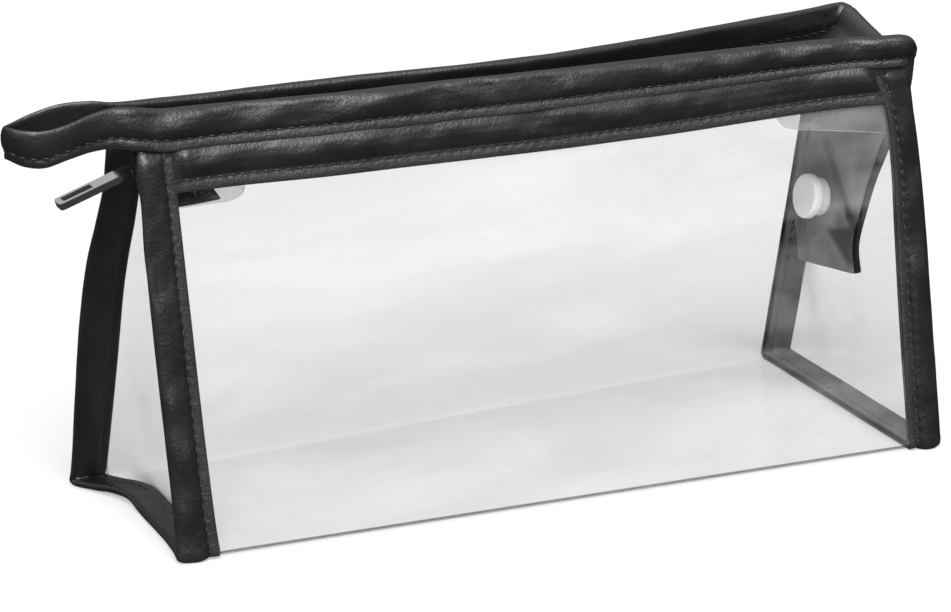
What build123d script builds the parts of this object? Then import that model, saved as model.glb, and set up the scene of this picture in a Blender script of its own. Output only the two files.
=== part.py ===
from build123d import *
from math import cos, radians, sin
import os

# A clear film makeup bag with leather-look bound ends. A zip runs between two bands along the top. The bands
# go on as a carry loop past the left end, and fold down over the right end as a tab that snaps shut.
# Millimetres. X runs along the bag, towards the snap tab. Y runs from front to back. Z is up from the
# surface that the bag stands on, and the origin is under the middle of the zip.

os.makedirs("parts", exist_ok=True)

# ---- Driving dimensions -------------------------------------------------------------------------------------

HALF_LENGTH = 108.0
HEIGHT = 112.0
BINDING_WIDTH = 9.5
TOP_BAND_HEIGHT = 10.0
FACING_HEIGHT = 20.5  # from the top of the bag to the lower edge of the facing band
FILM = 0.4
LEATHER = 0.7
TAPE = 0.6

# The layers of a sewn edge, as distances out from the inner face of the body film.
BINDING_INNER = -1.3
BINDING_OUTER = 1.2
TOP_BAND_INNER = -1.7
TOP_BAND_OUTER = 2.0
SEAM_SLOT = (-0.6, 0.5)
TOP_SLOT = (-1.0, 1.3)
END_FLANGE = (-0.5, -0.1)
FACING = (0.5, 1.2)
TAPE_MIDDLE = -0.6

BASE_LEVEL = BINDING_OUTER
BINDING_TOP = HEIGHT - TOP_BAND_HEIGHT - 0.5
FILM_TOP = HEIGHT - 1.2
KNEE = 10.0  # where the back lip starts to spread towards the right end

ZIP_LEVEL = 95.1
COIL_HALF_WIDTH = 2.5
COIL_THICKNESS = 2.0
COIL_GAP = 0.15
ZIP_LEFT = -96.0
ZIP_RIGHT = 97.4

SLIDER_X = -98.0
SLIDER_LENGTH = 10.0
SLIDER_WIDTH = 7.2
PLATE = 1.1
PLATE_GAP = 2.4

PULLER_DROP = 18.5  # degrees below level at rest
PULLER_LENGTH = 27.8
PULLER_WIDTH = 4.6
PULLER_THICKNESS = 1.8
PULLER_PIN = 0.55

LOOP_PIVOT = Vector(-112.4, 0.8, 107.7)
LOOP_TIP = -142.5
LOOP_HEIGHT = 8.6
LOOP_WALL = 1.8
LOOP_BULGE = 8.0
LOOP_NECK = 11.0

TAB_PIVOT = Vector(106.0, 0.0, 108.0)
TAB_TILT = 10.5  # degrees that the tab leans in
TAB_THICKNESS = 2.2
TAB_FLAT = 56.5
TAB_TAIL = 11.0
TAB_TAIL_TILT = -8.0

SNAP_Y = 3.6
SNAP_DROP = 48.8
SNAP_CAP = 12.4
SNAP_DISC = 10.4

THREAD = 0.3
THREAD_WIDTH = 0.5
THREAD_GAP = 0.05
SEAM_INSET = 2.3

# ---- The bag's long edges, from the left end to the right end -----------------------------------------------

front_base = [Vector(-HALF_LENGTH, -28, BASE_LEVEL), Vector(HALF_LENGTH, -41, BASE_LEVEL)]
back_base = [Vector(-HALF_LENGTH - 8, 33, BASE_LEVEL), Vector(HALF_LENGTH, 41, BASE_LEVEL)]
front_top = [Vector(-HALF_LENGTH, -4.4, HEIGHT), Vector(HALF_LENGTH, -16.5, HEIGHT)]
back_top = [Vector(-HALF_LENGTH, 5.5, HEIGHT), Vector(KNEE, 5.5, HEIGHT), Vector(HALF_LENGTH, 15.5, HEIGHT)]

left_base_line = back_base[0] - front_base[0]
left_rise = front_top[0] - front_base[0]
left_foot = front_base[0] - left_rise * (BASE_LEVEL / left_rise.Z)
left_end = Plane(origin=left_foot, x_dir=left_base_line, z_dir=left_base_line.cross(left_rise))
right_end = Plane.YZ.offset(HALF_LENGTH)


def left_inset(distance):
    """The plane that lies this far in from the left end."""
    return left_end.offset(distance)


def right_inset(distance):
    """The plane that lies this far in from the right end."""
    return right_end.offset(-distance)


def crossing(edge, plane):
    """Where a long edge, carried on straight past its ends, meets a plane, as a point in that plane."""
    locals_ = [plane.to_local_coords(point) for point in edge]
    for start, end in zip(locals_, locals_[1:]):
        if end.Z >= 0:
            break
    share = start.Z / (start.Z - end.Z)
    meet = start + (end - start) * share
    return Vector(meet.X, meet.Y)


def section(plane):
    """The bag's outline in a plane: front top, front base, back base, back top."""
    return [crossing(edge, plane) for edge in (front_top, front_base, back_base, back_top)]


def outward(start, end):
    """The unit normal on the outer side of a stretch of outline."""
    along = (end - start).normalized()
    return Vector(along.Y, -along.X)


def offset_path(path, distance):
    """An open path moved outward, with mitred corners."""
    normals = [outward(a, b) for a, b in zip(path, path[1:])]
    moved = [path[0] + normals[0] * distance]
    for point, before, after in zip(path[1:], normals, normals[1:]):
        moved.append(point + (before + after) * (distance / (1 + before.dot(after))))
    moved.append(path[-1] + normals[-1] * distance)
    return moved


def thick_path(path, inner, outer):
    """The closed outline between an open path's inner and outer offsets."""
    return offset_path(path, outer) + offset_path(path, inner)[::-1]


def panel_point(outline, side, out, height):
    """A point beside the front or back panel, by its distance out from the film and its height."""
    top, base = (outline[0], outline[1]) if side == "front" else (outline[3], outline[2])
    normal = outward(top, base) if side == "front" else outward(base, top)
    return base + (top - base) * ((height - base.Y) / (top.Y - base.Y)) + normal * out


def trimmed(outline, height):
    """The outline with both its top ends cut at a height."""
    front = panel_point(outline, "front", 0, height)
    back = panel_point(outline, "back", 0, height)
    return [front, outline[1], outline[2], back]


def wrap(plane, inner, outer, top):
    """A layer that runs down the front, under the base and up the back, as an outline in a plane."""
    return plane, thick_path(trimmed(section(plane), top), inner, outer)


def strip(plane, side, inner, outer, low, high):
    """A layer on the front or back panel between two heights, as an outline in a plane."""
    outline = section(plane)
    corners = [(outer, low), (outer, high), (inner, high), (inner, low)]
    return plane, [panel_point(outline, side, out, height) for out, height in corners]


def flat_face(plane, points):
    """The flat face inside a closed outline, given in the plane's own coordinates."""
    with BuildSketch(plane) as face:
        with BuildLine():
            Polyline(*[(point.X, point.Y) for point in points], close=True)
        make_face()
    return face.sketch


def loft_through(outlines, mode=Mode.ADD):
    """A ruled solid through closed outlines, each a plane and its points."""
    loft([flat_face(plane, points) for plane, points in outlines], ruled=True, mode=mode)


def save(piece, label):
    """Labels a finished piece and writes its STEP file."""
    piece.part.label = label
    export_step(piece.part, f"parts/{label}.step")


knee_plane = Plane.YZ.offset(KNEE)

# ---- Clear body: front, base and back in one sheet ----------------------------------------------------------

FILM_INSET_LEFT = 1.5
FILM_INSET_RIGHT = 4.0
SAG_INSET = BINDING_WIDTH + 1.0  # the base film comes down to the table inside this margin


def base_outline(margin):
    """The base's outline, drawn in by a margin."""
    with BuildSketch() as outline:
        Polygon(*[(p.X, p.Y) for p in (*front_base, *reversed(back_base))], align=None)
        offset(amount=-margin, kind=Kind.INTERSECTION, mode=Mode.REPLACE)
    return outline.sketch


with BuildPart() as body_film:
    film_planes = [left_inset(FILM_INSET_LEFT), knee_plane, right_inset(FILM_INSET_RIGHT)]
    loft_through([wrap(plane, 0, FILM, FILM_TOP) for plane in film_planes])
    extrude(base_outline(SAG_INSET), amount=BASE_LEVEL)
    inside = Plane.XY.offset(FILM) * base_outline(SAG_INSET + FILM)
    extrude(inside, amount=BASE_LEVEL, mode=Mode.SUBTRACT)
save(body_film, "body_film")

# ---- Bound ends: a folded strip around the raw edges of the body and the end panel --------------------------

FOLD_INSET = 0.7

for end_name, inset in (("left", left_inset), ("right", right_inset)):
    with BuildPart() as end_binding:
        limits = [inset(0), inset(BINDING_WIDTH)]
        loft_through([wrap(plane, BINDING_INNER, BINDING_OUTER, BINDING_TOP) for plane in limits])
        slot = [inset(FOLD_INSET), inset(BINDING_WIDTH + 1)]
        loft_through([wrap(plane, *SEAM_SLOT, BINDING_TOP + 1) for plane in slot], mode=Mode.SUBTRACT)
    save(end_binding, f"{end_name}_end_binding")

# ---- The snap tab's frame: Y across the tab, up along it, and out from the bag ------------------------------

tab_out = Vector(cos(radians(TAB_TILT)), 0, -sin(radians(TAB_TILT)))
tab_plane = Plane(origin=TAB_PIVOT, x_dir=(0, 1, 0), z_dir=tab_out)
snap_centre = tab_plane.from_local_coords(Vector(SNAP_Y, -SNAP_DROP, 0))
snap_plane = Plane(origin=snap_centre, x_dir=(0, 1, 0), z_dir=tab_out)

# The snap's stack, as distances out from the middle of the tab.
LINING = (-1.9, -1.2)
SOCKET = (-4.4, -2.0)
SOCKET_BORE_END = -2.4
STUD_FLANGE = (-5.6, -4.6)
STUD_TIP = -2.65
STUD_RADIUS = 2.2
SOCKET_BORE = 2.4
SNAP_FILM = (-6.05, -5.65)
INNER_CAP = (-8.1, -6.1)
OUTER_CAP = (1.2, 3.2)
POST_RADIUS = 1.0
POST_HOLE = 1.2

# ---- End panels: clear film with a seam allowance inside each binding ---------------------------------------

END_FLANGE_INSET = 1.2
END_PLATE_OUTER = BINDING_WIDTH + 0.1
END_PLATE_INNER = END_PLATE_OUTER + FILM
FLANGE_OVERLAP = 0.3
LEFT_PANEL_TOP = 87.5  # low enough for the puller to trail through the open zip
RIGHT_PANEL_TOP = 92.5
SNAP_LAND = 15.0


def end_outline(plane, top):
    """An end panel's outline, where it meets its seam allowance."""
    return offset_path(trimmed(section(plane), top), sum(END_FLANGE) / 2)


def end_flange(inset):
    """The seam allowance that an end panel turns outward into its binding."""
    flange = [inset(END_FLANGE_INSET), inset(END_PLATE_INNER + FLANGE_OVERLAP)]
    loft_through([wrap(plane, *END_FLANGE, BINDING_TOP - 1.5) for plane in flange])


with BuildPart() as left_end_film:
    end_flange(left_inset)
    plate_plane = left_inset(END_PLATE_OUTER)
    extrude(flat_face(plate_plane, end_outline(plate_plane, LEFT_PANEL_TOP)), amount=FILM)
save(left_end_film, "left_end_film")


def dish(rim_inset, land):
    """The right end panel's dished shape, from its rim to the flat land under the snap."""
    rim = right_inset(rim_inset)
    half = SNAP_LAND / 2
    land_corners = [Vector(-half, half), Vector(-half, -half), Vector(half, -half), Vector(half, half)]
    return [(rim, end_outline(rim, RIGHT_PANEL_TOP)), (snap_plane.offset(land), land_corners)]


with BuildPart() as right_end_film:
    loft_through(dish(END_PLATE_INNER, SNAP_FILM[0]))
    loft_through(dish(END_PLATE_OUTER, SNAP_FILM[1]), mode=Mode.SUBTRACT)
    end_flange(right_inset)
    with BuildSketch(snap_plane.offset(SNAP_FILM[0] - 1)):
        Circle(POST_HOLE)
    extrude(amount=FILM + 2, mode=Mode.SUBTRACT)
save(right_end_film, "right_end_film")

# ---- Facing bands, top bands, zip tapes and zip coils, one of each on the front and the back ----------------

BAND_LEFT = -107.1
BAND_RIGHT = 103.4
FACING_CLEAR = 0.3
TAPE_TURN = 101.0
TAPE_SIDE = 4.2

facing_planes = [left_inset(BINDING_WIDTH + FACING_CLEAR), knee_plane, right_inset(BINDING_WIDTH + FACING_CLEAR)]
band_planes = [Plane.YZ.offset(BAND_LEFT), knee_plane, Plane.YZ.offset(BAND_RIGHT)]
tape_planes = [Plane.YZ.offset(ZIP_LEFT + 3), knee_plane, Plane.YZ.offset(ZIP_RIGHT)]


def top_band_outline(plane, side):
    """A band folded over the top edge of the film, as an outline in a plane."""
    low = HEIGHT - TOP_BAND_HEIGHT
    fold = HEIGHT - LEATHER
    corners = [
        (TOP_BAND_OUTER, low),
        (TOP_BAND_OUTER, HEIGHT),
        (TOP_BAND_INNER, HEIGHT),
        (TOP_BAND_INNER, low),
        (TOP_SLOT[0], low),
        (TOP_SLOT[0], fold),
        (TOP_SLOT[1], fold),
        (TOP_SLOT[1], low),
    ]
    outline = section(plane)
    return plane, [panel_point(outline, side, out, height) for out, height in corners]


def tape_outline(plane, side):
    """A zip tape: sewn flat against the film, then turned in and down to the coil."""
    outline = section(plane)
    toward = -1 if side == "front" else 1
    path = [
        Vector(toward * (COIL_HALF_WIDTH + COIL_GAP), ZIP_LEVEL),
        Vector(toward * TAPE_SIDE, ZIP_LEVEL),
        panel_point(outline, side, TAPE_MIDDLE, TAPE_TURN),
        panel_point(outline, side, TAPE_MIDDLE, FILM_TOP - 0.2),
    ]
    return plane, thick_path(path, -TAPE / 2, TAPE / 2)


for side in ("front", "back"):
    with BuildPart() as facing_band:
        low, high = HEIGHT - FACING_HEIGHT, FILM_TOP
        loft_through([strip(plane, side, *FACING, low, high) for plane in facing_planes])
    save(facing_band, f"{side}_facing_band")

    with BuildPart() as top_band:
        loft_through([top_band_outline(plane, side) for plane in band_planes])
    save(top_band, f"{side}_top_band")

    with BuildPart() as zip_tape:
        loft_through([tape_outline(plane, side) for plane in tape_planes])
    save(zip_tape, f"{side}_zip_tape")

    with BuildPart() as zip_coil:
        toward = -1 if side == "front" else 1
        with BuildSketch(Plane.YZ.offset(ZIP_LEFT)):
            with Locations((toward * (COIL_HALF_WIDTH / 2 + COIL_GAP / 2), ZIP_LEVEL)):
                RectangleRounded(COIL_HALF_WIDTH - COIL_GAP, COIL_THICKNESS, 0.6)
        extrude(amount=ZIP_RIGHT - ZIP_LEFT)
    save(zip_coil, f"{side}_zip_coil")

# ---- Guard flaps: clear film inside the front, at each end of the zip ---------------------------------------

GUARD_LAYER = (-2.0, -1.7)
GUARD_TOP = 94.0


def panel_patch(start, end, low, high, layer, radius):
    """A patch inside the front panel, with its inner lower corner rounded."""
    planes = [Plane.YZ.offset(start), Plane.YZ.offset(end)]
    loft_through([strip(plane, "front", *layer, low, high) for plane in planes])
    past = 2 * radius  # the view runs on past the two edges that stay square
    left, right = (start - past, end) if start < 0 else (start, end + past)
    with BuildSketch(Plane.XZ.offset(-HALF_LENGTH)) as front_view:
        with Locations(((left + right) / 2, (low + high + past) / 2)):
            RectangleRounded(right - left, high + past - low, radius)
    extrude(front_view.sketch, amount=2 * HALF_LENGTH, mode=Mode.INTERSECT)


with BuildPart() as left_guard_flap:
    panel_patch(-97.5, -80.0, 87.5, GUARD_TOP, GUARD_LAYER, 3.0)
save(left_guard_flap, "left_guard_flap")

with BuildPart() as right_guard_flap:
    panel_patch(69.5, 95.8, 86.0, GUARD_TOP, GUARD_LAYER, 6.0)
save(right_guard_flap, "right_guard_flap")

with BuildPart() as loop_anchor_patch:
    panel_patch(-97.5, -87.5, 88.0, GUARD_TOP, (-2.9, -2.2), 2.0)
save(loop_anchor_patch, "loop_anchor_patch")

# ---- Zip slider ---------------------------------------------------------------------------------------------

PIN_X = SLIDER_X - 3.6
PIN_Z = ZIP_LEVEL + PLATE_GAP / 2 + PLATE + 1.0
SLIDER_NOSE = PIN_X - 1.9
SHOULDER = PIN_X - 0.9
SLIDER_TAIL = SLIDER_X + SLIDER_LENGTH / 2
NOSE_HALF_WIDTH = 1.0
BAIL_WIDTH = 1.6
BAIL_WALL = 1.0
BAIL_CLEARANCE = 0.75
FLANGE_WALL = 0.6
FLANGE_DEPTH = 0.6

with BuildPart() as zip_slider:
    half = SLIDER_WIDTH / 2
    plate_top = ZIP_LEVEL + PLATE_GAP / 2 + PLATE
    plate_bottom = ZIP_LEVEL - PLATE_GAP / 2 - PLATE
    with BuildSketch(Plane.XY.offset(plate_bottom)) as slider_outline:
        with BuildLine():
            Polyline(
                (SLIDER_NOSE, -NOSE_HALF_WIDTH),
                (SHOULDER, -NOSE_HALF_WIDTH),
                (SHOULDER, -half),
                (SLIDER_TAIL - 3, -half),
                (SLIDER_TAIL, -half + 0.8),
                (SLIDER_TAIL, half - 0.8),
                (SLIDER_TAIL - 3, half),
                (SHOULDER, half),
                (SHOULDER, NOSE_HALF_WIDTH),
                (SLIDER_NOSE, NOSE_HALF_WIDTH),
                close=True,
            )
        make_face()
    extrude(amount=plate_top - plate_bottom)
    with BuildSketch(Plane.YZ.offset(SLIDER_NOSE - 1)):
        for turn in (1, -1):
            with Locations((turn * (half / 2 + NOSE_HALF_WIDTH / 2), ZIP_LEVEL)):
                Rectangle(half - NOSE_HALF_WIDTH - 2 * FLANGE_WALL, PLATE_GAP)
            with Locations((turn * half, ZIP_LEVEL)):
                Rectangle(4 * FLANGE_WALL, PLATE_GAP - 2 * FLANGE_DEPTH)
    extrude(amount=SLIDER_LENGTH + 3, mode=Mode.SUBTRACT)
    with BuildSketch(Plane.YZ.offset(PIN_X + 1.6)):
        with Locations((0, ZIP_LEVEL)):
            Rectangle(2 * (half - FLANGE_WALL), PLATE_GAP)
    extrude(amount=SLIDER_LENGTH, mode=Mode.SUBTRACT)
    with BuildSketch(Plane.XZ.offset(-BAIL_WIDTH / 2)) as bail:
        bail_top = PIN_Z + BAIL_CLEARANCE + BAIL_WALL
        with BuildLine():
            Polyline(
                (PIN_X - BAIL_CLEARANCE - BAIL_WALL, plate_top - 0.3),
                (PIN_X - BAIL_CLEARANCE - BAIL_WALL, bail_top - 0.8),
                (PIN_X - BAIL_CLEARANCE, bail_top),
                (SLIDER_TAIL - 3.6, bail_top),
                (SLIDER_TAIL - 1.6, plate_top - 0.3),
                (SLIDER_TAIL - 3.2, plate_top - 0.3),
                (SLIDER_TAIL - 4.4, PIN_Z + BAIL_CLEARANCE),
                (PIN_X - BAIL_CLEARANCE, PIN_Z + BAIL_CLEARANCE),
                (PIN_X - BAIL_CLEARANCE, plate_top - 0.3),
                close=True,
            )
        make_face()
    extrude(amount=BAIL_WIDTH)
save(zip_slider, "zip_slider")

# ---- Zip puller: a cross pin under the slider's bail, two arms and a plate with a slot ----------------------

ARM_THICKNESS = 1.1
ARM_END = 7.2
EYE_START = 0.3
EYE_END = 6.9
EYE_WIDTH = 2.2
SLOT_START = 18.0
SLOT_END = 26.3
SLOT_WIDTH = 2.8

drop = radians(PULLER_DROP)
puller_plane = Plane(origin=(PIN_X, 0, PIN_Z), x_dir=(-cos(drop), 0, -sin(drop)), z_dir=(-sin(drop), 0, cos(drop)))

with BuildPart() as zip_puller:
    with BuildSketch(puller_plane.offset(-ARM_THICKNESS / 2)):
        with Locations((ARM_END / 2, 0)):
            Rectangle(ARM_END, PULLER_WIDTH)
        with Locations(((EYE_START + EYE_END) / 2, 0)):
            Rectangle(EYE_END - EYE_START, EYE_WIDTH, mode=Mode.SUBTRACT)
    extrude(amount=ARM_THICKNESS)
    with BuildSketch(puller_plane.offset(-PULLER_THICKNESS / 2)):
        with Locations(((ARM_END + PULLER_LENGTH) / 2, 0)):
            RectangleRounded(PULLER_LENGTH - ARM_END, PULLER_WIDTH + 0.4, 1.0)
        with Locations(((SLOT_START + SLOT_END) / 2, 0)):
            RectangleRounded(SLOT_END - SLOT_START, SLOT_WIDTH, 0.5, mode=Mode.SUBTRACT)
    extrude(amount=PULLER_THICKNESS)
    with BuildSketch(Plane.XZ.offset(-PULLER_WIDTH / 2)):
        with Locations((PIN_X, PIN_Z)):
            Circle(PULLER_PIN)
    extrude(amount=PULLER_WIDTH)
save(zip_puller, "zip_puller")

# ---- Carry loop: a teardrop of band with a round heel about its pivot ---------------------------------------

LOOP_HEEL = LOOP_PIVOT.X + LOOP_HEIGHT / 2
LOOP_BOTTOM = LOOP_PIVOT.Z - LOOP_HEIGHT / 2


def teardrop(inset):
    """The loop's plan shape, shrunk by inset, with an open heel."""
    with Locations((LOOP_TIP + LOOP_BULGE, LOOP_PIVOT.Y)):
        Circle(LOOP_BULGE - inset)
    with Locations((LOOP_HEEL + 2, LOOP_PIVOT.Y)):
        Rectangle(1, LOOP_NECK - 2 * inset)
    make_hull()


def loop_side_view():
    """The loop's outline seen from the front, extruded across it to trim the plan shape."""
    with BuildSketch(Plane.XZ.offset(-30)) as side_view:
        with Locations((LOOP_PIVOT.X, LOOP_PIVOT.Z)):
            Circle(LOOP_HEIGHT / 2)
        with Locations(((LOOP_PIVOT.X + LOOP_TIP) / 2 - 5, LOOP_PIVOT.Z)):
            Rectangle(LOOP_PIVOT.X - LOOP_TIP + 10, LOOP_HEIGHT)
    extrude(side_view.sketch, amount=60, mode=Mode.INTERSECT)


with BuildPart() as carry_loop:
    with BuildSketch(Plane.XY.offset(LOOP_BOTTOM)):
        teardrop(0)
    extrude(amount=LOOP_HEIGHT)
    with BuildSketch(Plane.XY.offset(LOOP_BOTTOM)):
        teardrop(LOOP_WALL)
    extrude(amount=LOOP_HEIGHT, mode=Mode.SUBTRACT)
    loop_side_view()
save(carry_loop, "carry_loop")

with BuildPart() as carry_loop_thread:
    with BuildSketch(Plane.XY.offset(LOOP_BOTTOM + SEAM_INSET)):
        teardrop(-THREAD_GAP - THREAD)
    extrude(amount=THREAD_WIDTH)
    with BuildSketch(Plane.XY.offset(LOOP_BOTTOM + SEAM_INSET)):
        teardrop(-THREAD_GAP)
    extrude(amount=THREAD_WIDTH, mode=Mode.SUBTRACT)
    loop_side_view()
save(carry_loop_thread, "carry_loop_thread")

# ---- Tail tab: the flattened end of the bands, folded down over the right end -------------------------------

TAB_TOP_EDGES = (-16.5, 15.8)
TAB_BEND_EDGES = (-15.2, 16.2)
TAB_END_EDGES = (-14.3, 16.5)
LINING_HALF_WIDTH = 11.0

bend_point = tab_plane.from_local_coords(Vector(0, -TAB_FLAT, 0))
tail_out = Vector(cos(radians(TAB_TAIL_TILT)), 0, -sin(radians(TAB_TAIL_TILT)))
tail_plane = Plane(origin=bend_point, x_dir=(0, 1, 0), z_dir=tail_out)


def tab_length(plane, top_edges, end_edges, length):
    """A flat length of the tab, hanging from the origin of its plane."""
    corners = [(top_edges[0], 0), (end_edges[0], -length), (end_edges[1], -length), (top_edges[1], 0)]
    face = flat_face(plane.offset(-TAB_THICKNESS / 2), [Vector(*corner) for corner in corners])
    extrude(face, amount=TAB_THICKNESS)


def tab_roll(point, y_edges):
    """A rounded bend across the tab."""
    with BuildSketch(Plane.XZ.offset(-y_edges[1])) as roll:
        with Locations((point.X, point.Z)):
            Circle(TAB_THICKNESS / 2)
    extrude(roll.sketch, amount=y_edges[1] - y_edges[0])


with BuildPart() as tail_tab:
    tab_length(tab_plane, TAB_TOP_EDGES, TAB_BEND_EDGES, TAB_FLAT)
    tab_length(tail_plane, TAB_BEND_EDGES, TAB_END_EDGES, TAB_TAIL)
    tab_roll(TAB_PIVOT, TAB_TOP_EDGES)
    tab_roll(bend_point, TAB_BEND_EDGES)
    with BuildSketch(snap_plane.offset(-TAB_THICKNESS)):
        Circle(POST_HOLE)
    extrude(amount=2 * TAB_THICKNESS, mode=Mode.SUBTRACT)
save(tail_tab, "tail_tab")

with BuildPart() as tail_tab_lining:
    with BuildSketch(tab_plane.offset(LINING[0])):
        with Locations((0, -TAB_FLAT / 2)):
            Rectangle(2 * LINING_HALF_WIDTH, TAB_FLAT - 5)
        with Locations((SNAP_Y, -SNAP_DROP)):
            Circle(POST_HOLE, mode=Mode.SUBTRACT)
    extrude(amount=LINING[1] - LINING[0])
save(tail_tab_lining, "tail_tab_lining")

with BuildPart() as tail_tab_thread:
    with BuildSketch(tab_plane.offset(TAB_THICKNESS / 2 + THREAD_GAP)):
        with BuildLine():
            Polyline(
                (TAB_TOP_EDGES[0] + SEAM_INSET, -4),
                (TAB_BEND_EDGES[0] + SEAM_INSET, 1 - TAB_FLAT),
                (TAB_BEND_EDGES[1] - SEAM_INSET, 1 - TAB_FLAT),
                (TAB_TOP_EDGES[1] - SEAM_INSET, -4),
                close=True,
            )
        make_face()
        offset(amount=-THREAD_WIDTH, mode=Mode.SUBTRACT)
    extrude(amount=THREAD)
save(tail_tab_thread, "tail_tab_thread")

# ---- Snap: an inner cap and stud on the end panel, a socket and outer cap on the tab ------------------------


def disc(levels, radius, mode=Mode.ADD):
    """A round piece on the snap's axis, between two distances out from the middle of the tab."""
    with BuildSketch(snap_plane.offset(levels[0])) as round_face:
        Circle(radius)
    extrude(round_face.sketch, amount=levels[1] - levels[0], mode=mode)


with BuildPart() as snap_inner_cap:
    disc(INNER_CAP, SNAP_CAP / 2)
    rim = edges().filter_by(GeomType.CIRCLE).sort_by(Axis(snap_centre, tab_out))[0]
    fillet(rim, radius=0.9)
    disc((INNER_CAP[1], STUD_TIP - 0.3), POST_RADIUS)
save(snap_inner_cap, "snap_inner_cap")

with BuildPart() as snap_stud:
    disc(STUD_FLANGE, SNAP_DISC / 2)
    disc((STUD_FLANGE[1], STUD_TIP), STUD_RADIUS)
    disc((STUD_FLANGE[0], STUD_TIP), POST_HOLE, mode=Mode.SUBTRACT)
save(snap_stud, "snap_stud")

with BuildPart() as snap_socket:
    disc(SOCKET, SNAP_DISC / 2)
    disc((SOCKET[0], SOCKET_BORE_END), SOCKET_BORE, mode=Mode.SUBTRACT)
    disc(SOCKET, POST_HOLE, mode=Mode.SUBTRACT)
save(snap_socket, "snap_socket")

with BuildPart() as snap_outer_cap:
    disc(OUTER_CAP, SNAP_CAP / 2)
    rim = edges().filter_by(GeomType.CIRCLE).sort_by(Axis(snap_centre, tab_out))[-1]
    fillet(rim, radius=0.9)
    disc((SOCKET_BORE_END, OUTER_CAP[0]), POST_RADIUS)
save(snap_outer_cap, "snap_outer_cap")

# ---- Sewing threads -----------------------------------------------------------------------------------------

outer_face = (THREAD_GAP, THREAD_GAP + THREAD)
binding_seam = BINDING_WIDTH - SEAM_INSET

for side in ("front", "back"):
    for seam, planes, face, low in (
        ("facing", facing_planes, FACING[1], HEIGHT - FACING_HEIGHT + SEAM_INSET),
        ("top", band_planes, TOP_BAND_OUTER, HEIGHT - TOP_BAND_HEIGHT + SEAM_INSET),
    ):
        with BuildPart() as seam_thread:
            inner, outer = face + outer_face[0], face + outer_face[1]
            loft_through([strip(plane, side, inner, outer, low, low + THREAD_WIDTH) for plane in planes])
        save(seam_thread, f"{side}_{seam}_thread")

for end_name, inset in (("left", left_inset), ("right", right_inset)):
    with BuildPart() as binding_thread:
        planes = [inset(binding_seam), inset(binding_seam + THREAD_WIDTH)]
        inner = BINDING_INNER - outer_face[1], BINDING_INNER - outer_face[0]
        outer = BINDING_OUTER + outer_face[0], BINDING_OUTER + outer_face[1]
        loft_through([wrap(plane, *inner, BINDING_TOP - 2) for plane in planes])
        for side in ("front", "back"):
            loft_through([strip(plane, side, *outer, 4, BINDING_TOP - 2) for plane in planes])
    save(binding_thread, f"{end_name}_binding_thread")
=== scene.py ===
"""Looks for a clear makeup bag with black leather-look trim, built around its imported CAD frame.

Lengths in this file are millimetres until a mesh is made; meshes, lights and the camera are in metres.
"""
import math

import bpy
import numpy as np
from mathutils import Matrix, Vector, noise


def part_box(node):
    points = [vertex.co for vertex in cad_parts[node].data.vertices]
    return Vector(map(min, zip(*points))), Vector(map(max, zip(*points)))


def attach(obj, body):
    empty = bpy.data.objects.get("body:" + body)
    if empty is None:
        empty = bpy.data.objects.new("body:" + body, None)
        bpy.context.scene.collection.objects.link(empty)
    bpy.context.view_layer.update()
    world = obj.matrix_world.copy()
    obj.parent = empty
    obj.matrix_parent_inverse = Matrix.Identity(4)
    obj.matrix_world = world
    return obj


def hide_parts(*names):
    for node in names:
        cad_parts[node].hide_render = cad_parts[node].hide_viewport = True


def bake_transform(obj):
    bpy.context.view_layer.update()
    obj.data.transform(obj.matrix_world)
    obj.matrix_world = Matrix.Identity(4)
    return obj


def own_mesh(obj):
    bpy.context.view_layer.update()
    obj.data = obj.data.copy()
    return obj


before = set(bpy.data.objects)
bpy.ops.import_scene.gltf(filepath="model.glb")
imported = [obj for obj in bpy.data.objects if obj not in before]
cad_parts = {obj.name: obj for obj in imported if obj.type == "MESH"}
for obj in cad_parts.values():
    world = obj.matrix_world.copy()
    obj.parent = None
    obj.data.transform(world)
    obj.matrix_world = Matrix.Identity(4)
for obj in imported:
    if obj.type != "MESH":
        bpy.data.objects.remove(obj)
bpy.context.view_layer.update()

MM = 0.001

# ---- The bag's shape: base corners, lips and panels ----

# Heights of the lips and of the base seams.
HEIGHT = 112.0
BASE = 1.2
# Where the lips and the base seams run: (x, y).
FRONT_LIP = [
    (-112, -4), (-82, -4.6), (-62, -7.2), (-38, -8.6), (-15, -10.2), (6, -11.4), (24, -11.6), (55, -12.4),
    (84, -15.2), (97, -17.4), (110, -18.2),
]
BACK_LIP = [
    (-116, 5.2), (-79, 5.4), (-56, 4.6), (-37, 3.4), (-20, 1.8), (11, 1.6), (32, 3.8), (65, 8.8),
    (96, 13.6), (110, 16.2),
]
FRONT_BASE = [(-118, -28.4), (112, -41.2)]
BACK_BASE = [(-118, 32.9), (112, 41.1)]


def keyed(x, keys):
    """A smooth curve through (position, value) keys; values may be vectors."""
    at = np.array([key[0] for key in keys], float)
    values = np.array([key[1] for key in keys], float)
    x = np.clip(np.asarray(x, float), at[0], at[-1])
    slopes = np.gradient(values, at, axis=0)
    i = np.clip(np.searchsorted(at, x, side="right") - 1, 0, len(at) - 2)
    span = at[i + 1] - at[i]
    t = (x - at[i]) / span
    if values.ndim > 1:
        t, span = t[..., None], span[..., None]
    return ((2 * t**3 - 3 * t**2 + 1) * values[i] + (t**3 - 2 * t**2 + t) * span * slopes[i]
            + (3 * t**2 - 2 * t**3) * values[i + 1] + (t**3 - t**2) * span * slopes[i + 1])


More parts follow.
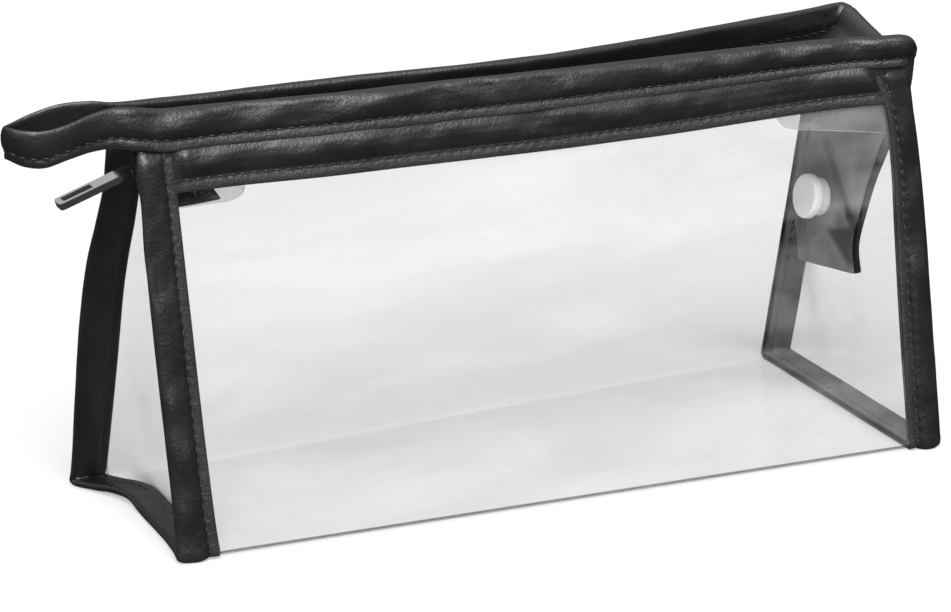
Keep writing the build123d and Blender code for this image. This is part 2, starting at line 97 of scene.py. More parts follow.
def ripple(a, b, c, size, seed=0.0):
    """Smooth noise between about -1 and 1 at places given in millimetres, for features of that size."""
    a, b, c = np.broadcast_arrays(np.asarray(a, float), np.asarray(b, float), np.asarray(c, float))
    flat = [noise.noise(Vector((p / size + seed, q / size - seed, r / size + 0.37 * seed)))
            for p, q, r in zip(a.ravel(), b.ravel(), c.ravel())]
    return np.array(flat).reshape(a.shape)


def panel(side, x, z, out=0.0):
    """A point on the front or back panel, standing out from the film by a distance."""
    x, z, out = np.broadcast_arrays(np.asarray(x, float), np.asarray(z, float), np.asarray(out, float))
    lip, foot, sign = (FRONT_LIP, FRONT_BASE, -1) if side == "front" else (BACK_LIP, BACK_BASE, 1)
    high, low = keyed(x, lip), keyed(x, foot)
    share = (z - BASE) / (HEIGHT - BASE)
    lean = (high - low) / (HEIGHT - BASE)
    length = np.sqrt(1 + lean**2)
    y = low + (high - low) * share
    return np.stack([x, y + sign * out / length, z - sign * lean * out / length], -1)


# ---- Meshes ----

def make_object(name, verts, faces, materials, face_materials=None):
    """A smooth-shaded object from points in millimetres."""
    mesh = bpy.data.meshes.new(name)
    mesh.from_pydata([tuple(v) for v in np.asarray(verts, float) * MM], [], faces)
    for material in materials:
        mesh.materials.append(material)
    if face_materials is not None:
        mesh.polygons.foreach_set("material_index", face_materials)
    mesh.polygons.foreach_set("use_smooth", [True] * len(mesh.polygons))
    mesh.update()
    piece = bpy.data.objects.new(name, mesh)
    bpy.context.scene.collection.objects.link(piece)
    return piece


def surface_normals(grid):
    """Unit normals of a grid of points, from its two directions."""
    along = np.gradient(grid, axis=0)
    across = np.gradient(grid, axis=1)
    normal = np.cross(along, across)
    return normal / np.maximum(np.linalg.norm(normal, axis=-1, keepdims=True), 1e-9)


def faces_towards(grid, at, direction):
    """Whether a grid's normal at one of its places points in a direction."""
    return surface_normals(grid)[at] @ np.array(direction, float) > 0


def turned_towards(grid, at, direction):
    """The grid, run the other way if its normal at one of its places doesn't point in a direction."""
    return grid if faces_towards(grid, at, direction) else grid[::-1]


# How far a sheet's cut edge bulges out, as a share of its thickness.
RIM_BULGE = 0.32


def sheet(name, grid, thickness, materials, zone=None):
    """A closed sheet of soft material. The grid is its outer face, and the sheet lies behind it.

    The last material is the rim's. zone gives the material of each grid cell, where they differ.
    """
    n, k = grid.shape[:2]
    inner = grid - surface_normals(grid) * thickness
    ring = [(0, j) for j in range(k)] + [(i, k - 1) for i in range(1, n)]
    ring += [(n - 1, j) for j in range(k - 2, -1, -1)] + [(i, 0) for i in range(n - 2, 0, -1)]
    rim = []
    for i, j in ring:
        inward = grid[min(max(i, 1), n - 2), min(max(j, 1), k - 2)] - grid[i, j]
        size = np.linalg.norm(inward)
        push = -inward / size if size > 1e-6 else np.zeros(3)
        rim.append((grid[i, j] + inner[i, j]) / 2 + push * thickness * RIM_BULGE)
    verts = np.concatenate([grid.reshape(-1, 3), inner.reshape(-1, 3), np.array(rim)])
    faces, kinds = [], []
    for i in range(n - 1):
        for j in range(k - 1):
            a, b, c, d = i * k + j, (i + 1) * k + j, (i + 1) * k + j + 1, i * k + j + 1
            faces.append((a, b, c, d))
            faces.append((n * k + d, n * k + c, n * k + b, n * k + a))
            kinds += [0 if zone is None else int(zone[i][j])] * 2
    for m, (i, j) in enumerate(ring):
        i2, j2 = ring[(m + 1) % len(ring)]
        outer_a, outer_b = i * k + j, i2 * k + j2
        rim_a, rim_b = 2 * n * k + m, 2 * n * k + (m + 1) % len(ring)
        faces.append((outer_a, outer_b, rim_b, rim_a))
        faces.append((rim_a, rim_b, n * k + outer_b, n * k + outer_a))
        kinds += [len(materials) - 1] * 2
    return make_object(name, verts, faces, materials, kinds)


def path_lengths(points):
    """How far along a path each of its points lies."""
    steps = np.linalg.norm(np.diff(points, axis=0), axis=1)
    return np.concatenate([[0], np.cumsum(steps)])


def place_on(points, lengths, at):
    """The value at one or more distances along a path."""
    return np.stack([np.interp(at, lengths, points[:, c]) for c in range(points.shape[1])], -1)


def tube_faces(first, rings, sides):
    """Faces of a closed tube, for rings of vertices that start at a given number."""
    faces = []
    for q in range(rings - 1):
        for s in range(sides):
            a, b = first + q * sides + s, first + q * sides + (s + 1) % sides
            faces.append((a, b, b + sides, a + sides))
    faces.append(tuple(first + s for s in range(sides))[::-1])
    faces.append(tuple(first + (rings - 1) * sides + s for s in range(sides)))
    return faces


# Stitch pitch and thread radius, and the rings and sides of one stitch's mesh.
STITCH = 3.0
THREAD_RADIUS = 0.25
STITCH_RINGS, STITCH_SIDES = 7, 6


def stitch_row(name, line, normals, start=1.5):
    """A row of separate stitches that dip into the seam at both ends."""
    lengths = path_lengths(line)
    end = lengths[-1]
    verts, faces = [], []
    for m in range(int((end - start) / STITCH)):
        middle = start + STITCH * (m + 0.5)
        slant = 0.10 + 0.05 * math.sin(m * 2.3)
        half = STITCH * (0.40 + 0.02 * math.sin(m * 1.7))
        faces += tube_faces(len(verts), STITCH_RINGS, STITCH_SIDES)
        for q in range(STITCH_RINGS):
            share = q / (STITCH_RINGS - 1)
            at = min(max(middle + (share * 2 - 1) * half, 0), end)
            up = place_on(normals, lengths, at)
            up /= np.linalg.norm(up)
            along = place_on(line, lengths, min(at + 0.3, end)) - place_on(line, lengths, max(at - 0.3, 0))
            along /= np.linalg.norm(along)
            across = np.cross(along, up)
            arch = math.sin(math.pi * share)
            thick = THREAD_RADIUS * (0.55 + 0.45 * arch**0.5)
            centre = place_on(line, lengths, at) + up * (arch**0.6 * 0.42 - 0.28)
            centre = centre + across * slant * (share * 2 - 1) * half
            for s in range(STITCH_SIDES):
                turn = 2 * math.pi * s / STITCH_SIDES
                verts.append(centre + across * math.cos(turn) * thick * 1.15 + up * math.sin(turn) * thick)
    return make_object(name, verts, faces, [THREAD])


def spline(points, spacing):
    """Pairs of points at even steps along a smooth curve through paired control points, and the steps."""
    points = np.asarray(points, float)
    padded = np.concatenate([[2 * points[0] - points[1]], points, [2 * points[-1] - points[-2]]])
    fine = []
    for p0, p1, p2, p3 in zip(padded, padded[1:], padded[2:], padded[3:]):
        for t in np.linspace(0, 1, 24, endpoint=False):
            fine.append(0.5 * (2 * p1 + (p2 - p0) * t + (2 * p0 - 5 * p1 + 4 * p2 - p3) * t**2
                               + (3 * p1 - p0 - 3 * p2 + p3) * t**3))
    fine.append(points[-1])
    fine = np.array(fine)
    lengths = path_lengths(fine.mean(axis=1))
    steps = np.linspace(0, lengths[-1], int(lengths[-1] / spacing) + 1)
    return np.stack([[np.interp(steps, lengths, fine[:, e, c]) for c in range(3)]
                     for e in range(points.shape[1])]).transpose(2, 0, 1), steps


# The cross-section of a folded strip: (share of its height from the cut edge to the fold, distance out).
OUTER_LEG = [
    (0, 0.96), (0.012, 1.08), (0.06, 1.1), (0.12, 1.06), (0.18, 0.98), (0.225, 0.84), (0.245, 0.84),
    (0.275, 1.02), (0.34, 1.38), (0.46, 1.66), (0.6, 1.72), (0.72, 1.62), (0.83, 1.42), (0.91, 1.12),
    (0.965, 0.74), (0.992, 0.38),
]
INNER_LEG = [
    (1, 0), (0.992, -0.36), (0.965, -0.68), (0.91, -0.98), (0.83, -1.14), (0.7, -1.24), (0.55, -1.28),
    (0.42, -1.2), (0.3, -1.02), (0.235, -0.94), (0.16, -1.04), (0.06, -1.2), (0, -1.2),
]
LEG_STITCH = 0.235
LEATHER = 0.7


def finer(path, steps):
    """The same cross-section with more points."""
    path = np.array(path)
    lengths = path_lengths(path * [10, 1])
    return place_on(path, lengths, np.linspace(0, lengths[-1], steps))


PROFILE = finer(OUTER_LEG + INNER_LEG, 52)
half_way = int(np.argmax(PROFILE[:, 0]))
STITCH_COLUMN = int(np.argmin(np.abs(PROFILE[:half_way, 0] - LEG_STITCH)))
INNER_STITCH_COLUMN = half_way + int(np.argmin(np.abs(PROFILE[half_way:, 0] - LEG_STITCH)))
OUTSIDE_STRIP = np.arange(len(PROFILE)) < STITCH_COLUMN


def folded_strip(edges, steps, outward, puff, seed, wrinkle):
    """The outer face of a strip folded over an edge. edges holds pairs of fold and cut edge points.

    Soft wrinkles swell it between stitches and fold, stitches pull it in, and fans open between them.
    """
    fold, cut = edges[:, 0], edges[:, 1]
    along = np.gradient((fold + cut) / 2, axis=0)
    rise = fold - cut
    normal = np.cross(along, rise) * outward
    normal /= np.linalg.norm(normal, axis=-1, keepdims=True)
    height, out = PROFILE[:, 0], PROFILE[:, 1]
    puff = np.broadcast_to(np.asarray(puff, float), (len(steps),))
    wrinkle = np.broadcast_to(np.asarray(wrinkle, float), (len(steps),))[:, None]
    s, h = np.meshgrid(steps, height, indexing="ij")
    sign = np.sign(out)[None, :] + (np.sign(out) == 0)[None, :]
    bell = np.clip((h - LEG_STITCH) / 0.22, 0, 1) * np.clip((1 - h) / 0.22, 0, 1)
    bell = np.maximum(bell, np.clip(1 - h / LEG_STITCH, 0, 1) * 0.12)
    side_seed = seed + 7.3 * (sign < 0)
    soft = ripple(s + 9 * h, h * 8, side_seed, 15.0, seed) * 1.7
    soft = soft + ripple(s - 7 * h, h * 10, side_seed + 3, 7.0, seed + 4) * 0.7
    soft = soft + ripple(s + 2 * h, h * 14, side_seed + 9, 2.6, seed + 8) * 0.12
    pull = np.exp(-((h - LEG_STITCH) / 0.05)**2) * (0.5 - 0.5 * np.cos(2 * math.pi * s / STITCH)) * 0.20
    fan = np.exp(-((h - LEG_STITCH - 0.10) / 0.08)**2) * np.cos(2 * math.pi * s / STITCH) * 0.10
    shift = sign * (soft * bell * wrinkle + fan * wrinkle - pull)
    shift = np.where(sign < 0, shift * 0.4, shift)
    distance = out[None, :] * puff[:, None] + shift
    edge_wave = ripple(s, h * 0, side_seed, 9.0, seed + 2) * 0.30 * h**3 * wrinkle
    reach = height[None, :, None] * rise[:, None, :] * (1 + edge_wave[..., None] * 0.06)
    return cut[:, None, :] + reach + normal[:, None, :] * distance[..., None]


def settle(piece, slot, *nodes, moving=None):
    """Keeps a piece on the bag, or, where it meets a moving body, bakes its place into its mesh, in place of
    CAD nodes.
    """
    if moving:
        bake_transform(piece)
    else:
        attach(piece, "bag")
    if nodes:
        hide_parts(*nodes)


def sewn_strip(name, grid, skins, zone, node, seam, rows, moving=None):
    """A leather strip and its stitches. seam is the face and normals they follow, rows their columns."""
    settle(sheet(name, grid, LEATHER, skins, zone), "leather_trim", node, moving=moving)
    for label, column, *thread_nodes in rows:
        row = stitch_row(f"{name}{label}_stitches", seam[0][:, column], seam[1][:, column])
        settle(row, "thread", *thread_nodes, moving=moving)


# ---- Materials ----

WHITE = (1, 1, 1, 1)
# Pebbles of the leather's grain, per metre.
PEBBLES = 1500.0


class Nodes:
    """A short way to write the node tree of a new material or of a world."""

    def __init__(self, owner):
        if isinstance(owner, str):
            owner = bpy.data.materials.new(owner)
        self.owner = owner
        owner.use_nodes = True
        self.tree = owner.node_tree
        self.tree.nodes.clear()
        self.coordinates = self.add("ShaderNodeTexCoord").outputs
        self.place = self.coordinates["Object"]

    def add(self, kind, inputs=None, **settings):
        node = self.tree.nodes.new(kind)
        for key, value in settings.items():
            setattr(node, key, value)
        for key, value in (inputs or {}).items():
            if isinstance(value, bpy.types.NodeSocket):
                self.tree.links.new(value, node.inputs[key])
            else:
                node.inputs[key].default_value = value
        return node

    def noise(self, scale, detail=2.0, rough=0.5, distort=0.0, place=None):
        inputs = {"Vector": place or self.place, "Scale": scale, "Detail": detail, "Roughness": rough,
                  "Distortion": distort}
        return self.add("ShaderNodeTexNoise", inputs).outputs["Fac"]

    def cells(self, scale):
        return self.add("ShaderNodeTexVoronoi", {"Vector": self.place, "Scale": scale},
                        feature="SMOOTH_F1").outputs["Distance"]

    def ramp(self, value, low, high, start=0.0, end=1.0):
        return self.add("ShaderNodeMapRange", {"Value": value, "From Min": start, "From Max": end,
                                               "To Min": low, "To Max": high}).outputs["Result"]

    def maths(self, kind, a, b):
        return self.add("ShaderNodeMath", {0: a, 1: b}, operation=kind).outputs[0]

    def bump(self, height, strength, distance, normal=None):
        inputs = {"Height": height, "Strength": strength, "Distance": distance}
        if normal is not None:
            inputs["Normal"] = normal
        return self.add("ShaderNodeBump", inputs).outputs["Normal"]

    def blend_colours(self, share, a, b):
        node = self.add("ShaderNodeMix", {"Factor": share}, data_type="RGBA")
        for socket, value in ((node.inputs[6], a), (node.inputs[7], b)):
            if isinstance(value, bpy.types.NodeSocket):
                self.tree.links.new(value, socket)
            else:
                socket.default_value = value
        return node.outputs[2]

    def mix(self, share, a, b):
        return self.add("ShaderNodeMixShader", {0: share, 1: a.outputs[0], 2: b.outputs[0]})

    def finish(self, shader):
        self.add("ShaderNodeOutputMaterial", {"Surface": shader.outputs[0]})
        return self.owner

    def principled(self, inputs):
        return self.finish(self.add("ShaderNodeBsdfPrincipled", inputs))


def leather(name, dark, light, rough_low, rough_high, grain, specular):
    """Black leather-look sheet: pebbled grain, soft creases, paler rubbed edges."""
    m = Nodes(name)
    fine = m.noise(4200.0)
    cloud = m.noise(90.0, 3.0, 0.6)
    crease = m.noise(330.0, 3.0, 0.55, 0.8)
    grain_height = m.maths("ADD", m.cells(PEBBLES), m.maths("MULTIPLY", fine, 0.45))
    normal = m.bump(crease, 0.30 * grain, 0.0003)
    normal = m.bump(grain_height, 0.45 * grain, 0.00011, normal)
    worn = m.ramp(m.add("ShaderNodeNewGeometry").outputs["Pointiness"], 0.0, 1.0, 0.52, 0.60)
    colour = m.blend_colours(cloud, dark, light)
    colour = m.blend_colours(m.maths("MULTIPLY", worn, 0.35), colour, (0.075, 0.075, 0.078, 1))
    rough = m.ramp(m.maths("ADD", m.maths("MULTIPLY", cloud, 0.7), m.maths("MULTIPLY", fine, 0.3)),
                   rough_low, rough_high, 0.3, 0.7)
    return m.principled({"Base Color": colour, "Roughness": rough, "Normal": normal,
                         "Specular IOR Level": specular})


# The tab's diagonal crease passes the bag's middle plane at this height.
CREASE_HEIGHT = 72.0


def lining_with_painted_shade(name):
    """The tab's inner face, painted paler for the haze and reflection of the films in front of it, with
    painted shade along its diagonal crease and a painted dark reflection at its lower front corner.
    """
    m = Nodes(name)
    place = m.add("ShaderNodeSeparateXYZ", {0: m.place}).outputs
    across = m.maths("MULTIPLY", place["Y"], 1 / MM)
    height = m.maths("MULTIPLY", place["Z"], 1 / MM)
    cloud = m.noise(70.0, 3.0, 0.6, 0.4)
    # Painted shade along the diagonal crease.
    crease_line = m.maths("ADD", m.maths("MULTIPLY", across, 0.875), CREASE_HEIGHT)
    line = m.maths("ADD", m.maths("SUBTRACT", height, crease_line), m.maths("MULTIPLY", cloud, 2.0))
    crease = m.ramp(m.maths("ABSOLUTE", line, 0.0), 1.0, 0.0, 1.2, 4.4)
    # A painted dark reflection over the lower front corner.
    reflection_top = m.maths("SUBTRACT", 53.0, m.maths("MULTIPLY", across, 0.32))
    reflection_side = m.maths("ADD", m.maths("MULTIPLY", across, 0.7), 53.4)
    below = m.ramp(m.maths("SUBTRACT", reflection_top, height), 0.0, 0.8, 0.0, 1.4)
    beside = m.ramp(m.maths("SUBTRACT", height, reflection_side), 0.0, 0.8, 0.0, 3.2)
    shade = m.maths("MAXIMUM", crease, m.maths("MINIMUM", below, beside))
    # Pale base colour: the haze and reflection of the films in front, painted in.
    painted_veil = m.blend_colours(m.ramp(cloud, 0.0, 1.0, 0.35, 0.65),
                           (0.11, 0.11, 0.113, 1), (0.23, 0.23, 0.234, 1))
    colour = m.blend_colours(m.maths("MULTIPLY", shade, 0.9), painted_veil, (0.02, 0.02, 0.021, 1))
    grain = m.bump(m.cells(PEBBLES), 0.3, 0.0001)
    return m.principled({"Base Color": colour, "Roughness": 0.5, "Normal": grain})


def clear_film(name, tint, gloss, haze_and_glare, seed, shadow=0.985):
    """Clear film: see-through, glossier at a slant, a little milky, with milky streaks that are painted
    glare. shadow is what it lets through.
    """
    m = Nodes(name)
    wave = m.noise(14.0, 2.0, 0.5, 0.6)
    fine = m.noise(70.0 + seed, 2.0, 0.5, 0.3)
    normal = m.bump(wave, 0.35, 0.004)
    normal = m.bump(fine, 0.03, 0.0005, normal)
    stretched = m.add("ShaderNodeMapping", {"Vector": m.place, "Rotation": (0.0, -0.45, 0.0),
                                            "Scale": (0.38, 1.0, 1.5)}).outputs[0]
    smear = m.noise(26.0 + seed, 3.0, 0.55, 0.6, stretched)
    rough = m.ramp(smear, 0.06, 0.22, 0.35, 0.7)
    see = m.add("ShaderNodeBsdfTransparent", {"Color": tint})
    shine = m.add("ShaderNodeBsdfGlossy", {"Color": WHITE, "Roughness": rough, "Normal": normal})
    path = m.add("ShaderNodeLightPath").outputs
    unseen = m.maths("MAXIMUM", path["Is Shadow Ray"], path["Is Diffuse Ray"])
    milk_and_glare = m.add("ShaderNodeBsdfDiffuse", {"Color": (0.92, 0.93, 0.94, 1), "Normal": normal})
    facing = m.add("ShaderNodeLayerWeight", {"Blend": 0.5, "Normal": normal}).outputs["Facing"]
    amount = m.ramp(m.maths("POWER", facing, 5.0), 0.04 * gloss, gloss)
    body = m.mix(amount, see, shine)
    # The milky streaks follow the stretched smear: partly the film's own haze, partly painted highlight
    # streaks.
    cloud = m.maths("MULTIPLY", m.ramp(smear, 0.0, 1.0, 0.45, 0.72), haze_and_glare)
    shade = m.add("ShaderNodeBsdfTransparent", {"Color": (shadow, shadow, shadow, 1)})
    return m.finish(m.mix(unseen, m.mix(cloud, body, milk_and_glare), shade))


def cut_film_edge(name):
    """The bright cut edge of clear film."""
    m = Nodes(name)
    see = m.add("ShaderNodeBsdfTransparent", {"Color": (0.8, 0.82, 0.84, 1)})
    bright = m.add("ShaderNodeBsdfPrincipled", {"Base Color": (0.85, 0.87, 0.88, 1), "Roughness": 0.25})
    speck = m.ramp(m.noise(900.0), 0.35, 0.8, 0.35, 0.65)
    return m.finish(m.mix(speck, see, bright))


def woven(name, colour, light):
    """Woven tape: two crossed yarn waves."""
    m = Nodes(name)
    waves = []
    for direction in ("X", "Z"):
        waves.append(m.add("ShaderNodeTexWave", {"Vector": m.place, "Scale": 420.0, "Distortion": 0.6},
                           wave_type="BANDS", bands_direction=direction).outputs["Fac"])
    height = m.maths("MULTIPLY", waves[0], waves[1])
    shade = m.blend_colours(height, colour, light)
    return m.principled({"Base Color": shade, "Roughness": 0.8,
                         "Normal": m.bump(height, 0.5, 0.0002), "Sheen Weight": 0.25})


def thread_material(name, colour):
    """Twisted thread or wound nylon, with slanting strands."""
    m = Nodes(name)
    strand = m.add("ShaderNodeTexWave", {"Vector": m.place, "Scale": 1500.0, "Distortion": 1.0},
                   bands_direction="DIAGONAL").outputs["Fac"]
    return m.principled({"Base Color": colour, "Roughness": 0.30, "Sheen Weight": 0.1,
                         "Normal": m.bump(strand, 0.4, 0.0001)})


def polished_metal(name):
    """Bright plated metal with fine scratches."""
    m = Nodes(name)
    scratch = m.noise(1400.0, 3.0, 0.6)
    swirl = m.noise(160.0, 2.0)
    rough = m.ramp(scratch, 0.14, 0.22, 0.3, 0.7)
    colour = m.blend_colours(swirl, (0.80, 0.81, 0.83, 1), (0.92, 0.93, 0.95, 1))
    return m.principled({"Base Color": colour, "Metallic": 1.0, "Roughness": rough,
                         "Normal": m.bump(scratch, 0.03, 0.00003)})


def moulded_plastic(name, colour):
    """Smooth moulded plastic that lets a little light in."""
    m = Nodes(name)
    speck = m.noise(700.0, 3.0)
    rough = m.ramp(speck, 0.28, 0.42, 0.3, 0.7)
    return m.principled({"Base Color": colour, "Roughness": rough,
                         "Subsurface Weight": 0.25, "Subsurface Radius": (0.002,) * 3,
                         "Normal": m.bump(speck, 0.12, 0.00005)})


TRIM = leather("trim_leather", (0.006, 0.006, 0.0065, 1), (0.015, 0.015, 0.016, 1),
               rough_low=0.31, rough_high=0.45, grain=1.3, specular=0.7)
SEAM_STRIP = leather("trim_leather_seam", (0.012, 0.012, 0.013, 1), (0.036, 0.036, 0.038, 1),
                     rough_low=0.36, rough_high=0.54, grain=2.6, specular=0.55)
# Paler leather for the right binding's inner leg, seen through the film: the film's haze and reflection over
# it are painted into its colour.
TRIM_PAINTED_FILM_VEIL = leather("trim_leather_inside", (0.055, 0.055, 0.057, 1), (0.13, 0.13, 0.133, 1),
                     rough_low=0.42, rough_high=0.6, grain=1.3, specular=0.85)
LINING_PAINTED_SHADE = lining_with_painted_shade("lining_leather")
FILM = clear_film("clear_film", (0.963, 0.964, 0.966, 1), gloss=0.7, haze_and_glare=0.09, seed=3.0)
# A darker tint along the front base fold: a painted contact shadow. It also casts a real shadow.
FILM_CONTACT_SHADOW = clear_film("clear_film_crease", (0.5, 0.5, 0.51, 1), gloss=0.8, haze_and_glare=0.05, seed=3.0,
                         shadow=0.3)
# A milkier line along the back base fold, with more gloss: a painted highlight.
FILM_FOLD_HIGHLIGHT = clear_film("clear_film_fold", (0.96, 0.961, 0.963, 1), gloss=1.2, haze_and_glare=0.32, seed=3.0)
END_FILM = clear_film("clear_film_end", (0.945, 0.946, 0.95, 1), gloss=1.0, haze_and_glare=0.08, seed=11.0)
FLAP_FILM = clear_film("clear_film_flap", (0.84, 0.842, 0.846, 1), gloss=1.0, haze_and_glare=0.20, seed=19.0)
FILM_EDGE = cut_film_edge("clear_film_cut_edge")
TAPE = woven("zip_tape_weave", (0.006, 0.006, 0.007, 1), (0.03, 0.03, 0.032, 1))
COIL = thread_material("zip_coil_nylon", (0.012, 0.012, 0.013, 1))
THREAD = thread_material("sewing_thread", (0.014, 0.014, 0.015, 1))
METAL = polished_metal("polished_metal")
SNAP = moulded_plastic("snap_plastic", (0.90, 0.91, 0.91, 1))

# ---- Top band, carry loop and the tab's edges: one strip, up the tab, along the front and back again ----

BAND_HEIGHT = 10.2
# The distance between a running piece's rows of points.
SPACING = 0.8


def right_rise(x):
    """How far the front bands' lower edges have risen towards the bag's right end, 0 to 1."""
    share = np.clip((x - 30.0) / 72.0, 0, 1)
    return share * share * (3 - 2 * share)


def lip_lift(x, height, place):
    """How far a lip stands above the bag's height: up where it runs into the loop, down at the right."""
    return height * math.exp(-((x - place) / 9.0)**2) - 0.45 * right_rise(x + 50)


def lip_station(side, x, lift, raised_cut=0.0):
    """Fold and cut edges of the top band at a place along a lip."""
    return np.array([panel(side, x, HEIGHT + lift), panel(side, x, HEIGHT - BAND_HEIGHT + raised_cut)])


# The strip's edges where it leaves the bag: fold edge, then cut edge.
TAB_FRONT = [
    ((97.2, -14.3, 43.4), (97.2, -5.4, 41.9)), ((96.1, -14.8, 51.5), (95.9, -5.9, 51.5)),
    ((97.4, -15.9, 60.5), (97, -6.6, 60.5)), ((99.4, -17.4, 70.5), (98.9, -8.2, 70)),
    ((101.8, -19.6, 80), (100.9, -10.2, 79.5)), ((104.6, -21.2, 89), (103.2, -11.6, 88.5)),
    ((106.6, -21.2, 97), (105.4, -11.4, 97.4)), ((107.4, -20.6, 103.8), (107, -11, 104.8)),
    ((107.3, -20.1, 109.8), (106.9, -16.6, 103.8)), ((104.6, -19.7, 111.4), (104.2, -20.4, 103.2)),
    ((99.6, -18.8, 111.5), (99.6, -19.8, 103)),
]
TAB_BACK = [
    ((103.4, 15.6, 111.6), (102.6, 15.6, 102.6)), ((107.2, 16.6, 111.3), (107.2, 12.4, 106.6)),
    ((108.6, 17, 109), (108.4, 9.2, 106.6)), ((108.2, 17, 104), (107.6, 8.2, 103)),
    ((107, 16.6, 98), (105.6, 8, 97.6)), ((104.6, 16.4, 89), (103.2, 7.6, 88.5)),
    ((101.6, 16.2, 80), (100.9, 7.4, 79.5)), ((99.4, 16.2, 70.5), (98.9, 7.4, 70)),
    ((97.4, 16.2, 60.5), (97, 7.4, 60.5)), ((96.1, 16.4, 51.5), (95.9, 7.6, 51.5)),
    ((97.4, 16.6, 38.4), (97.3, 7.8, 39.8)),
]
LOOP = [
    ((-108.6, -4.2, 113.8), (-108.4, -6.6, 103.2)), ((-114, -3.8, 114.2), (-114, -5.6, 104.3)),
    ((-120.5, -4.8, 113.4), (-120.5, -5.6, 104.2)), ((-127, -6, 112), (-127, -6.6, 103.3)),
    ((-133, -6, 111.2), (-133, -6.4, 101.9)), ((-137.6, -4.2, 111.4), (-137.4, -4.4, 102.2)),
    ((-140.3, -0.6, 111.6), (-140, -0.6, 103.2)), ((-140, 3.2, 110.8), (-139.6, 3.2, 102.6)),
    ((-137, 6.2, 110.6), (-136.8, 6.2, 102.2)), ((-131, 7.6, 112), (-131, 7.8, 103.2)),
    ((-124, 7, 113.6), (-124, 7.4, 104.4)), ((-116.5, 5.6, 113.8), (-116.5, 6, 104.2)),
]
FRONT_STOPS = (92, 84, 74, 62, 50, 38, 24, 10, -4, -18, -32, -46, -60, -74, -88, -100)
BACK_STOPS = (-110, -100, -88, -74, -60, -46, -32, -18, -4, 10, 24, 38, 50, 62, 74, 86, 96)
SPLIT_X = 10.0

stations = [np.array(pair) for pair in TAB_FRONT]
stations += [lip_station("front", x, lip_lift(x, 0.5, -96), 1.3 * right_rise(x)) for x in FRONT_STOPS]
stations += [np.array(pair) for pair in LOOP]
stations += [lip_station("back", x, lip_lift(x, 0.8, -108)) for x in BACK_STOPS]
stations += [np.array(pair) for pair in TAB_BACK]
band_edges, band_steps = spline(stations, SPACING)
band_middle = band_edges.mean(axis=1)
in_loop = np.clip((band_middle[:, 0] + 104) / -14.0, 0, 1)
in_tab = np.clip((104.0 - band_middle[:, 2]) / 12.0, 0, 1) * (band_middle[:, 0] > 90)
band_puff = 1.35 - np.maximum(0.75 * in_loop, 0.55 * in_tab)
band_face = folded_strip(band_edges, band_steps, -1.0, band_puff, 2.0, 0.6 - 0.4 * in_loop)
band_normal = surface_normals(band_face)
if np.mean(band_normal[len(band_steps) // 4, 5:12, 1]) > 0:
    band_normal = -band_normal

# Where two lengths of the band meet, each end dives under the other.
DIVE = (0, 0.03, 0.10, 0.20, 0.30, 0.36)
OVERLAP = len(DIVE)
# The rougher strip below the stitches starts here, right of the loop.
STRIP_START = -107.5
crossings = np.flatnonzero(np.diff(np.sign(band_middle[:, 0] - SPLIT_X)))
front_split, back_split = crossings[0], crossings[-1]
# Each length of band: first and last rows, the body that moves its end, its CAD node and its thread's.
band_lengths = {
    "band_right_front": (0, front_split + OVERLAP, "tail_tab", "front_top_band", "front_top_thread"),
    "band_left_and_loop": (front_split - OVERLAP + 1, back_split + OVERLAP, "carry_loop", "carry_loop",
                           "carry_loop_thread"),
    "band_right_back": (back_split - OVERLAP + 1, len(band_steps), "tail_tab", "back_top_band",
                        "back_top_thread"),
}
for name, (first, last, moving, node, thread_node) in band_lengths.items():
    tucked = np.zeros(last - first)
    if first > 0:
        tucked[:OVERLAP] = DIVE[::-1]
    if last < len(band_steps):
        tucked[-OVERLAP:] = DIVE
    part = band_face[first:last] - band_normal[first:last] * tucked[:, None, None]
    zone = (part[..., 0] > STRIP_START + 3 * (1 - PROFILE[:, 0] / LEG_STITCH)) & OUTSIDE_STRIP
    if not faces_towards(part, (len(part) // 2, 8), band_normal[(first + last) // 2, 8]):
        part, zone = part[::-1], zone[::-1]
    sewn_strip(name, part, [TRIM, SEAM_STRIP, TRIM], zone, node,
               (band_face[first:last], band_normal[first:last]),
               [("", STITCH_COLUMN, thread_node), ("_inner", INNER_STITCH_COLUMN)], moving)

# ---- Bound ends ----

# Edge places: (height, fold x, cut edge x) up a side, and (y, fold x, cut edge x, lift) along the base.
LEFT_FRONT = [
    (103, -108.6, -99.9), (100.5, -109.2, -99.9), (96, -109.8, -99.9), (90, -109.3, -99.7),
    (78, -109.7, -99.6), (62, -109.7, -99.5), (44, -109.6, -99.4), (26, -109.5, -99.2), (10, -109.4, -98.8),
    (4, -109.5, -98.5), (1.6, -109.6, -98.4),
]
LEFT_BASE = [
    (-27.6, -109.4, -98.6, 0), (-22, -108.4, -98.3, 0), (-14, -107.6, -98, 0), (-2, -107.2, -98, 0),
    (6, -107, -98.3, 0.1), (13, -107.4, -99, 1.4), (19, -109.2, -100.8, 1.6), (26, -112.6, -103.8, 0.5),
    (31, -115.4, -106, 0),
]
LEFT_BACK = [
    (1.6, -116.4, -106.6), (4, -116.2, -106.5), (12, -116.1, -106.1), (27, -116.2, -105.6),
    (42, -116.3, -105.2), (57, -116, -104.9), (68, -115.2, -104.2), (78, -113.5, -103.1),
    (88, -112, -102.4), (97, -111.8, -102.4), (100.5, -111.8, -102.4), (103, -111.6, -102.4),
]
RIGHT_FRONT = [
    (103, 106.4, 95), (100.5, 106.6, 96), (96, 106.9, 97.8), (91, 107.2, 99), (84, 107.7, 99.7),
    (74, 108.2, 99.9), (62, 108.5, 99.6), (44, 108.5, 99.2), (26, 108.5, 99), (10, 108.5, 99),
    (4, 108.5, 99), (1.6, 108.5, 99),
]
